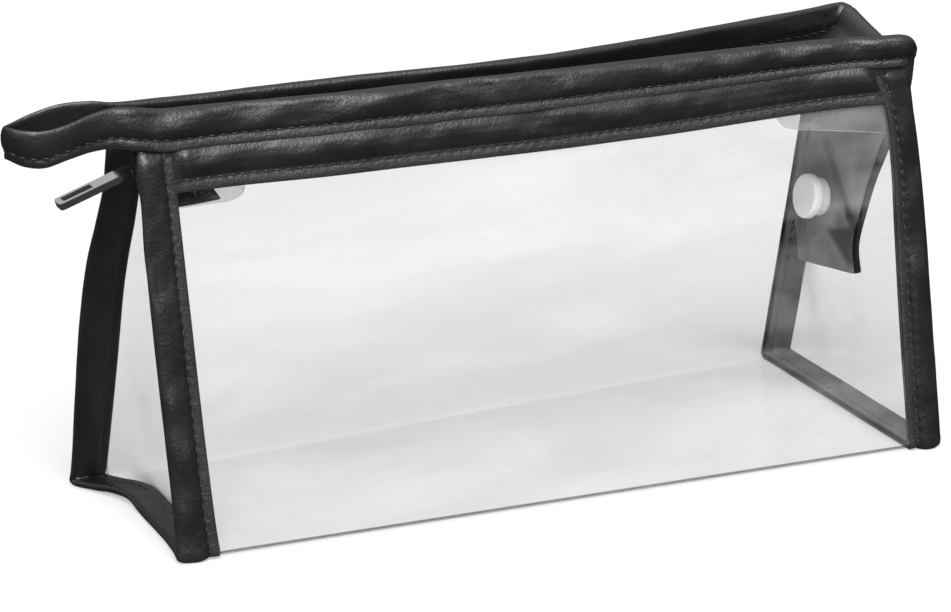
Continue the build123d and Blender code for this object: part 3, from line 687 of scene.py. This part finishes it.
RIGHT_BASE = [
    (-39.4, 108.5, 99, 0), (-34, 108.2, 99, 0), (-24, 108.2, 98.8, 0.1), (-8, 108, 98.7, 0.2),
    (8, 107.8, 98.6, 0.3), (24, 107.9, 98.6, 0.2), (34, 108, 98.7, 0), (39.2, 108.1, 98.7, 0),
]
RIGHT_BACK = [
    (1.6, 108.1, 98.7), (4, 108.1, 98.7), (10, 108.3, 98.7), (26, 108.6, 98.8), (44, 108.7, 98.9),
    (62, 108.7, 99), (78, 108.5, 99), (92, 108, 98.9), (100.5, 107.6, 98.8), (103, 107, 98.8),
]


def binding_stations(front, base, back):
    """Fold and cut edges of a binding: down the front, across the base and up the back."""
    made = [np.array([panel("front", fold, z), panel("front", cut, z)]) for z, fold, cut in front]
    for y, fold, cut, lift in base:
        made.append(np.array([(fold, y, BASE + lift), (cut, y, BASE + lift * 0.8)]))
    made += [np.array([panel("back", fold, z), panel("back", cut, z)]) for z, fold, cut in back]
    return made


for end, (front, base, back), seed in (("left", (LEFT_FRONT, LEFT_BASE, LEFT_BACK), 31.0),
                                       ("right", (RIGHT_FRONT, RIGHT_BASE, RIGHT_BACK), 47.0)):
    edges, steps = spline(binding_stations(front, base, back), SPACING)
    tucked = np.clip((edges.mean(axis=1)[:, 2] - 99.5) / 2.5, 0, 1)
    grid = folded_strip(edges, steps, 1.0 if end == "right" else -1.0, 0.92 - 0.50 * tucked, seed, 0.55)
    outward = faces_towards(grid, (20, 8), (0, -1, 0.2))
    face = surface_normals(grid) * (1 if outward else -1)
    # The right binding's inner leg takes the leather with the film's haze and reflection painted in.
    inner_leg_painted_veil = (PROFILE[:, 1] < 0) & (end == "right")
    zone = np.broadcast_to(np.where(inner_leg_painted_veil, 2, OUTSIDE_STRIP), grid.shape[:2])
    sewn_strip(f"binding_{end}", grid if outward else grid[::-1], [TRIM, SEAM_STRIP, TRIM_PAINTED_FILM_VEIL, TRIM], zone,
               f"{end}_end_binding", (grid, face),
               [("_outer", STITCH_COLUMN, f"{end}_binding_thread"), ("_inner", INNER_STITCH_COLUMN)])

# ---- Facing bands under the top band ----

# The facing's cross-section: (height, distance out from the film).
FACING = [
    (91.5, 0.9), (91.7, 1.02), (92.6, 1.04), (93.6, 0.94), (94.2, 0.82), (94.4, 0.82), (94.9, 1.1),
    (96.2, 1.6), (98, 1.95), (100, 1.8), (101.5, 1.3), (103.2, 0.8),
]
FACING_STITCH = 94.3
FACING_ROWS = finer(FACING, 22)
FACING_COLUMN = int(np.argmin(np.abs(FACING_ROWS[:, 0] - FACING_STITCH)))
# How far out the facing's ends lie, where they are tucked under the bindings.
TUCKED_OUT = 0.72

for side, sign, left_x, right_x, binding, seed in (("front", -1, -102.4, 103.4, RIGHT_FRONT, 61.0),
                                                   ("back", 1, -106.0, 102.2, RIGHT_BACK, 73.0)):
    x, z = np.meshgrid(np.arange(left_x, right_x, SPACING), FACING_ROWS[:, 0], indexing="ij")
    bell = np.clip((z - 94.6) / 2.5, 0, 1) * np.clip((103.5 - z) / 4.0, 0, 1)
    soft = ripple(x + 1.1 * z, z * 0.7, 0, 18.0, seed) * 2.0
    soft = soft + ripple(x - 0.8 * z, z * 0.8, 0, 8.0, seed + 3) * 0.8
    soft = soft + ripple(x, z, 0, 2.6, seed + 5) * 0.09
    beat = np.cos(2 * math.pi * x / STITCH)
    pull = np.exp(-((z - FACING_STITCH) / 0.8)**2) * (0.5 - 0.5 * beat) * 0.24
    fan = np.exp(-((z - FACING_STITCH - 1.4) / 1.1)**2) * beat * 0.12
    swell = FACING_ROWS[:, 1] + soft * bell * 0.45 + fan - pull
    cut_edge = keyed(z, sorted((height, cut) for height, _, cut in binding))
    tuck = np.clip(np.minimum(x - left_x - 3.4, cut_edge - 0.5 - x) / 2.4, 0, 1)
    rise = 1.9 * right_rise(x) * (side == "front")
    grid = panel(side, x, z + rise, TUCKED_OUT + (swell - TUCKED_OUT) * tuck)
    outward = faces_towards(grid, (40, 8), (0, sign, 0))
    face = surface_normals(grid) * (1 if outward else -1)
    zone = np.broadcast_to(FACING_ROWS[:, 0] < FACING_STITCH, grid.shape[:2])
    sewn_strip(f"facing_{side}", grid if outward else grid[::-1], [TRIM, SEAM_STRIP, TRIM], zone,
               f"{side}_facing_band", (grid, face), [("", FACING_COLUMN, f"{side}_facing_thread")])

# ---- Clear body: front, base and back as one sagging shell ----

FILM_THICKNESS = 0.4
FOLD_REACH = 2.0
FILM_BASE = 0.3
FILM_TOP = 110.6
# Rows of points up each wall, along each fold and across the base.
WALL_ROWS, FOLD_ROWS, BASE_ROWS = 46, 7, 28


def rounded(a, corner, b):
    """Points along a rounded corner, without its two ends."""
    shares = np.linspace(0, 1, FOLD_ROWS + 2)[1:-1]
    return [a * (1 - t)**2 + corner * 2 * t * (1 - t) + b * t**2 for t in shares]


def body_path(x):
    """The film's path at a place along the bag: down the front, across the base, up the back."""
    front_foot, back_foot = panel("front", x, BASE)[1], panel("back", x, BASE)[1]
    base_y = np.linspace(front_foot + FOLD_REACH, back_foot - FOLD_REACH, BASE_ROWS)
    base = [np.array([x, y, FILM_BASE]) for y in base_y]
    front = [panel("front", x, z) for z in np.linspace(FILM_TOP, FOLD_REACH, WALL_ROWS)]
    back = [panel("back", x, z) for z in np.linspace(FOLD_REACH, FILM_TOP, WALL_ROWS)]
    front_fold = rounded(front[-1], np.array([x, front_foot, FILM_BASE]), base[0])
    back_fold = rounded(base[-1], np.array([x, back_foot, FILM_BASE]), back[0])
    return front + front_fold + base + back_fold + back


# The film's left edge runs inside the left binding: (y, x). Its right edge is straight.
FILM_LEFT_END = [(-30, -105), (-3, -104), (8, -103.5), (16, -104.5), (22, -108), (34, -111.5)]
FILM_RIGHT_END = 104.0
film_x = np.linspace(-1, 1, 150)
columns = []
for share in film_x:
    path = np.array(body_path(share * 105.0 - 1.5))
    left_reach = keyed(path[:, 1], FILM_LEFT_END)
    path[:, 0] = -share * left_reach if share < 0 else share * FILM_RIGHT_END
    columns.append(path)
grid = np.array(columns)
for i in range(len(grid)):
    for side, keep in (("front", grid[i, :, 1] < -2), ("back", grid[i, :, 1] > 2)):
        tall = keep & (grid[i, :, 2] > FOLD_REACH - 0.1)
        grid[i, tall] = panel(side, grid[i, tall, 0], grid[i, tall, 2])
normal = surface_normals(grid)
if normal[75, 20, 1] > 0:
    normal = -normal
x, y, z = np.moveaxis(grid, -1, 0)
rim = np.clip((1 - np.abs(film_x)[:, None]) * 9, 0, 1) * np.clip((96 - z) / 25, 0, 1)
wobble = ripple(x, y * 0.6, z, 75.0, 5.0) * 2.0 + ripple(x * 0.8, y, z * 1.3, 30.0, 9.0) * 0.55
wobble = wobble + ripple(x, y, z, 11.0, 14.0) * 0.06
wall = np.clip((z - FOLD_REACH) / 14.0, 0, 1)
floor_run = np.minimum(y - keyed(x, FRONT_BASE), keyed(x, BACK_BASE) - y)
floor_part = (wall == 0) * np.clip((floor_run - FOLD_REACH) / 14.0, 0, 1)
# The walls ripple both ways, and the base only rises.
wobble = wobble * rim * wall - np.abs(wobble) * rim * floor_part * 0.35
grid = grid + normal * wobble[..., None]
row = np.arange(grid.shape[1])
# The front rows at the base fold take the darker tint: a painted contact shadow.
front_contact_shadow = (row >= WALL_ROWS) & (row < WALL_ROWS + 4)
back_fold_start = WALL_ROWS + FOLD_ROWS + BASE_ROWS
# Two rows along the back base fold take the milkier film: a painted highlight.
back_fold = (row >= back_fold_start + 2) & (row < back_fold_start + 4)
zone = np.broadcast_to(np.where(back_fold, 1, np.where(front_contact_shadow, 2, 0)), grid.shape[:2])
film = sheet("film_body", turned_towards(grid, (75, 20), (0, -1, 0)), FILM_THICKNESS,
             [FILM, FILM_FOLD_HIGHLIGHT, FILM_CONTACT_SHADOW, FILM_EDGE], zone)
settle(film, "clear_film", "body_film")

# ---- Clear end panels ----

snap_low, snap_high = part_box("snap_inner_cap")
SNAP_Y = (snap_low.y + snap_high.y) / 2 / MM
SNAP_Z = (snap_low.z + snap_high.z) / 2 / MM
# The height of an end panel's lowest row.
END_FOOT = 1.6


def end_panel(name, node, front, back, base_cut, top, dish):
    """An end panel between the cut edges of its binding. dish gives how far it bows, in x."""
    v, u = np.meshgrid(np.linspace(0, 1, 70), np.linspace(0, 1, 50), indexing="ij")
    z = END_FOOT + (top - END_FOOT) * v
    front_x = keyed(z, sorted((height, cut) for height, _, cut in front))
    back_x = keyed(z, sorted((height, cut) for height, _, cut in back))
    x = front_x + (back_x - front_x) * u
    y_front = panel("front", front_x, z)[..., 1] + 0.6
    y_back = panel("back", back_x, z)[..., 1] - 0.6
    y = y_front + (y_back - y_front) * u
    base_x = keyed(y, sorted((place, cut) for place, _, cut, _ in base_cut))
    base_z = keyed(y, sorted((place, lift) for place, _, _, lift in base_cut))
    near_base = np.clip(1 - (z - END_FOOT) / 12, 0, 1)**2
    x = x * (1 - near_base) + base_x * near_base
    z = z + base_z * 0.8 * near_base
    rim = np.clip(4 * u * (1 - u), 0, 1)**0.8 * np.clip(v * 6, 0, 1)
    x = x + dish(y, z) * rim
    x = x + ripple(y, z, 0, 16.0, 3.0) * 0.8 * rim + ripple(y, z, 0, 6.0, 5.0) * 0.12 * rim
    piece = sheet(name, np.stack([x, y, z], -1), FILM_THICKNESS, [END_FILM, FILM_EDGE])
    settle(piece, "clear_film", node)


def bowed_in(y, z):
    """The left end panel, bowed slightly into the bag."""
    return y * 0 + 1.2


def pulled_in(y, z):
    """The right end panel, drawn in to the snap's stud with tension folds around it."""
    away = np.hypot(y - SNAP_Y, (z - SNAP_Z) / 1.25)
    turn = np.arctan2(z - SNAP_Z, y - SNAP_Y)
    pull = -7.6 * np.exp(-(np.clip(away - 5.0, 0, None) / 15.0)**1.3)
    folds = 0.8 * np.cos(3 * turn + 0.6) * np.exp(-((away - 15) / 7.0)**2)
    return pull + folds


end_panel("end_film_left", "left_end_film", LEFT_FRONT, LEFT_BACK, LEFT_BASE, 87.5, bowed_in)
end_panel("end_film_right", "right_end_film", RIGHT_FRONT, RIGHT_BACK, RIGHT_BASE, 92.5, pulled_in)

# ---- Guard flaps and the loop's anchor patch, inside the front panel ----

PATCH_TOP = 95.0
FLAP_THICKNESS = 0.35


def inner_patch(name, node, slot, low_edge, out, thickness, materials, curl=0.0, slant=0.0):
    """A small flap that hangs inside the front panel. low_edge gives its lower edge as (x, height)."""
    x_start, x_end = float(low_edge[0][0]), float(low_edge[-1][0])
    xs = np.linspace(x_start, x_end, 46)
    x, v = np.meshgrid(xs, np.linspace(0, 1, 18), indexing="ij")
    z = PATCH_TOP + (keyed(xs, low_edge)[:, None] - PATCH_TOP) * v
    x = x + slant * (PATCH_TOP - z) * (x - x_start) / (x_end - x_start)
    offset = out - curl * v**2 + ripple(x, z, 0, 9.0, 2.0) * 0.25 * v
    grid = panel("front", x, z, offset)
    piece = sheet(name, turned_towards(grid, (20, 9), (0, -1, 0)), thickness, materials)
    settle(piece, slot, node)
    return grid


for end, curl, low_edge in (
        ("left", 0.8, [(-101, 87.3), (-90, 87.5), (-84, 87.8), (-81.6, 88.8), (-80.4, 90.6), (-80, 92.6)]),
        ("right", 1.2, [(69.5, 91.6), (70.8, 90), (74, 88.6), (79, 87.9), (90, 86.6), (102.5, 85)])):
    inner_patch(f"guard_flap_{end}", f"{end}_guard_flap", "clear_film", low_edge, -2.2, FLAP_THICKNESS,
                [FLAP_FILM, FILM_EDGE], curl)
patch = inner_patch("anchor_patch", "loop_anchor_patch", "leather_trim",
                    [(-99, 87.8), (-95, 88.0), (-91.0, 88.4)], -3.1, LEATHER, [SEAM_STRIP], slant=0.6)
patch_face = surface_normals(patch)
# The stitches lie on the patch's front, most of the way down.
low_row = 13
patch_row = stitch_row("anchor_patch_stitches", patch[:, low_row],
                       patch_face[:, low_row] * np.sign(-patch_face[20, low_row, 1]), start=0.2)
settle(patch_row, "thread")

# ---- Zip: woven tapes, nylon coils ----

ZIP_Z = 95.1
ZIP_LEFT, COIL_RIGHT, TAPE_RIGHT = -96.0, 97.0, 99.0
TAPE_THICKNESS = 0.6
# The coil's turns, points in a turn, sides of its wire and radius of its wire.
COIL_TURNS, COIL_STEPS, COIL_SIDES, COIL_WIRE = 128, 12, 6, 0.36


def zip_rise(x):
    """How far the zip has climbed towards the tab."""
    return np.clip((x - 80) / 19, 0, 1)**2 * 7.5


def tape_grid(side, sign):
    """A tape from the coil, level at first, then up the panel's inside to under the top band."""
    rows = []
    for x in np.arange(ZIP_LEFT, TAPE_RIGHT, 1.5):
        level = ZIP_Z + zip_rise(x)
        wall = panel(side, x, 101.0, -1.0)
        path = np.array([(x, sign * 2.4, level), (x, sign * 4.2, level),
                         (x, (sign * 4.2 + wall[1]) / 2, (level + 101) / 2 - 1.2),
                         wall, panel(side, x, 102.5, -0.8), panel(side, x, 104.5, -0.5)])
        lengths = path_lengths(path)
        rows.append(place_on(path, lengths, np.linspace(0, lengths[-1], 20)))
    grid = np.array(rows)
    return grid + ripple(*np.moveaxis(grid, -1, 0), 12.0, 8.0)[..., None] * [0, 0, 0.25]


def coil_mesh(sign):
    """One coil: a wire wound round an oval, as points and faces."""
    t = np.arange(COIL_TURNS * COIL_STEPS + 1) / COIL_STEPS
    x = ZIP_LEFT + t * (COIL_RIGHT - ZIP_LEFT) / COIL_TURNS
    y = sign * (1.25 + 1.2 * np.cos(2 * math.pi * t + (0 if sign > 0 else math.pi)))
    z = ZIP_Z + 0.75 * np.sin(2 * math.pi * t) + zip_rise(x)
    centre = np.stack([x, y, z], -1)
    along = np.gradient(centre, axis=0)
    along /= np.linalg.norm(along, axis=1, keepdims=True)
    side_dir = np.cross(along, [1.0, 0, 0])
    side_dir /= np.linalg.norm(side_dir, axis=1, keepdims=True)
    other = np.cross(along, side_dir)
    wires = [centre + COIL_WIRE * (math.cos(turn) * side_dir + math.sin(turn) * other)
             for turn in 2 * math.pi * np.arange(COIL_SIDES) / COIL_SIDES]
    return np.stack(wires, 1).reshape(-1, 3), tube_faces(0, len(centre), COIL_SIDES)


for side, sign, lip in (("front", -1, FRONT_LIP), ("back", 1, BACK_LIP)):
    grid = turned_towards(tape_grid(side, sign), (60, 2), (0, 0, 1))
    tape = sheet(f"zip_tape_{side}", grid, TAPE_THICKNESS, [TAPE])
    settle(tape, "zip_tape", f"{side}_zip_tape")
    coil = make_object(f"zip_coil_{side}", *coil_mesh(sign), [COIL])
    settle(coil, "zip_coil", f"{side}_zip_coil")
    # Each gets a mesh of its own.
    for piece in (tape, coil):
        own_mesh(piece)

# ---- Tail tab: web between its two folded edges, and its lining ----

TAB_TOP = 104.0
WEB_THICKNESS = 1.3
LINING_THICKNESS = 0.6


def web_grid():
    """The web from the tab's free end up over the end of the bag, between the strip's cut edges."""
    front_top = [(105.8, -12.2, 105.6), (102.8, -12.6, 103.4), (100.5, -11.6, 102.8), (94.0, -9.8, 100.2)]
    back_top = [(107.6, 12.6, 110.2), (103.8, 11.6, 105.0), (100.5, 11.2, 103.4), (94.0, 8.6, 100.4)]
    front = np.concatenate([np.array(TAB_FRONT, float)[:8, 1], front_top])
    back = np.concatenate([np.array(TAB_BACK, float)[:2:-1, 1], back_top])
    edges, _ = spline(np.stack([front, back], 1), 1.2)
    u = np.linspace(-0.04, 1.04, 26)
    grid = edges[:, :1] * (1 - u)[None, :, None] + edges[:, 1:] * u[None, :, None]
    y, z = grid[..., 1], grid[..., 2]
    z -= np.sin(np.clip(u, 0, 1) * math.pi) * np.clip((z - 92) / 8, 0, 1) * 0.6
    tall = np.clip((96 - z) / 10, 0, 1) * np.clip((z - 38) / 10, 0, 1)
    from_crease = z - (CREASE_HEIGHT + 0.55 * y)
    wave = 0.8 * np.exp(-(from_crease / 4.5)**2) - 0.5 * np.exp(-((from_crease + 9) / 5.0)**2)
    grid[..., 0] -= wave * tall - ripple(y, z, 0, 14.0, 4.0) * 0.4 * tall
    return grid


web = sheet("tab_web", turned_towards(web_grid(), (10, 12), (-1, 0, 0)), WEB_THICKNESS, [TRIM])
settle(web, "leather_trim", "tail_tab", moving="tail_tab")

# The lining's edges: its front side as (height, y), its back side's y, and its middle as (height, x).
LINING_FRONT = [
    (43, -14.2), (52, -14.6), (60, -15.4), (70, -16.8), (80, -19), (89, -20.6), (97, -20.6), (104, -20),
]
LINING_BACK = 16.0
LINING_MIDDLE = [
    (38, 97.4), (41.5, 97.2), (51.5, 95.9), (60.5, 97.1), (70.5, 98.9), (80, 100.9), (89, 103.1),
    (97, 104.8), (104, 104),
]


def lining_grid():
    """The tab's inner face: creased across, flat where the snap holds it, its sides turned under."""
    share, across = np.meshgrid(np.linspace(0, 1, 60), np.linspace(0, 1, 38), indexing="ij")
    front_side = keyed(TAB_TOP - 60.4 * share, LINING_FRONT)
    y = front_side + (LINING_BACK - front_side) * across
    z = TAB_TOP + (43.6 - (y + 13.5) * 0.17 - TAB_TOP) * share
    from_crease = z - (CREASE_HEIGHT + 0.62 * y)
    wave = 1.1 * np.exp(-(from_crease / 4.0)**2) - 0.7 * np.exp(-((from_crease + 9) / 5.0)**2)
    free = 1 - np.exp(-(((y - SNAP_Y)**2 + (z - SNAP_Z)**2) / 90.0)**2)
    edge = np.clip(np.minimum(y - front_side, LINING_BACK - y) / 1.5, 0, 1)
    x = keyed(z, LINING_MIDDLE) - 1.95 - wave * free * edge
    x = x - ripple(y, z, 0, 12.0, 6.0) * 0.5 * free + (1 - edge) * 0.5
    return np.stack([x, y, z], -1)


lining = sheet("tab_lining", lining_grid(), LINING_THICKNESS, [LINING_PAINTED_SHADE])
settle(lining, "leather_trim", "tail_tab_lining", "tail_tab_thread", moving="tail_tab")

# ---- Metal and snap: the CAD shapes with softened edges ----


def dress(node, material, bevel):
    """Gives a CAD node its material and a rounded edge."""
    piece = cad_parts[node]
    piece.data.materials.clear()
    piece.data.materials.append(material)
    soften = piece.modifiers.new("soft_edges", "BEVEL")
    soften.width = bevel * MM
    soften.segments = 3
    soften.limit_method = "ANGLE"
    soften.angle_limit = math.radians(35)
    for polygon in piece.data.polygons:
        polygon.use_smooth = True
    piece.modifiers.new("flat_faces", "WEIGHTED_NORMAL")


for node in ("zip_slider", "zip_puller"):
    dress(node, METAL, 0.42)
for node in ("snap_inner_cap", "snap_stud", "snap_socket", "snap_outer_cap"):
    dress(node, SNAP, 0.15)

# ---- Stage: floor, lights, camera. From here on, lengths are metres ----

FLOOR_SIZE = 12.0
TARGET = Vector((-0.01255, 0, 0.04566))
CAMERA_AZIMUTH, CAMERA_ELEVATION, CAMERA_DISTANCE = -25.33, 19.31, 1.0207
LENS = 145.5
WORLD_LIGHT = 0.34


def floor_material():
    """A pale paper sweep. Shiny things see it darker than it is, as if black cards stood around the bag."""
    m = Nodes("floor_paint")
    colour = m.blend_colours(m.noise(6.0), (0.50, 0.50, 0.50, 1), (0.52, 0.52, 0.52, 1))
    lit = m.add("ShaderNodeBsdfDiffuse", {"Color": colour})
    glow = m.add("ShaderNodeEmission", {"Color": WHITE, "Strength": 0.46})
    paper = m.add("ShaderNodeAddShader", {0: lit.outputs[0], 1: glow.outputs[0]})
    card = m.add("ShaderNodeBsdfDiffuse", {"Color": (0.035, 0.035, 0.035, 1)})
    return m.finish(m.mix(m.add("ShaderNodeLightPath").outputs["Is Glossy Ray"], paper, card))


def studio_world():
    """Even white light, with a dim horizon for reflections and a white backdrop for the camera."""
    world = bpy.data.worlds.new("studio")
    bpy.context.scene.world = world
    m = Nodes(world)
    height = m.add("ShaderNodeSeparateXYZ", {0: m.coordinates["Generated"]}).outputs["Z"]
    even = m.add("ShaderNodeBackground", {"Color": WHITE, "Strength": WORLD_LIGHT})
    dim = m.add("ShaderNodeBackground", {"Strength": m.ramp(height, 0.05, 0.95, 0.15, 0.65)})
    backdrop = m.add("ShaderNodeBackground", {"Color": WHITE})
    path = m.add("ShaderNodeLightPath").outputs
    seen = m.mix(path["Is Camera Ray"], m.mix(path["Is Glossy Ray"], even, dim), backdrop)
    m.add("ShaderNodeOutputWorld", {"Surface": seen.outputs[0]})


def aimed_at_bag(name, data, azimuth, elevation, distance):
    """A light or camera on the stage that faces the bag from a direction and distance."""
    a, e = math.radians(azimuth), math.radians(elevation)
    away = Vector((math.sin(a) * math.cos(e), -math.cos(a) * math.cos(e), math.sin(e)))
    thing = bpy.data.objects.new(name, data)
    thing.location = TARGET + away * distance
    thing.rotation_mode = "QUATERNION"
    thing.rotation_quaternion = (-away).to_track_quat("-Z", "Y")
    bpy.context.scene.collection.objects.link(thing)
    return thing


size = FLOOR_SIZE / MM
floor = make_object("floor", [(-size, -size, 0), (size, -size, 0), (size, size, 0), (-size, size, 0)],
                    [(0, 1, 2, 3)], [floor_material()])
studio_world()

key = bpy.data.lights.new("key_overhead", "SUN")
key.energy = 3.2
key.angle = math.radians(40)
key_light = bpy.data.objects.new("key_overhead", key)
key_light.rotation_euler = (math.radians(36), math.radians(-12), 0)
bpy.context.scene.collection.objects.link(key_light)

strip = bpy.data.lights.new("left_strip", "AREA")
strip.shape = "RECTANGLE"
strip.size, strip.size_y = 0.25, 0.9
strip.energy = 3
aimed_at_bag("left_strip", strip, -80, 40, 1.6)

camera_data = bpy.data.cameras.new("camera")
camera_data.lens = LENS
camera_data.sensor_width = 36.0
camera_data.clip_start, camera_data.clip_end = 0.05, 60.0
bpy.context.scene.camera = aimed_at_bag("camera", camera_data, CAMERA_AZIMUTH, CAMERA_ELEVATION,
                                        CAMERA_DISTANCE)
bpy.context.scene.view_settings.view_transform = "Standard"
bpy.context.scene.cycles.transparent_max_bounces = 48
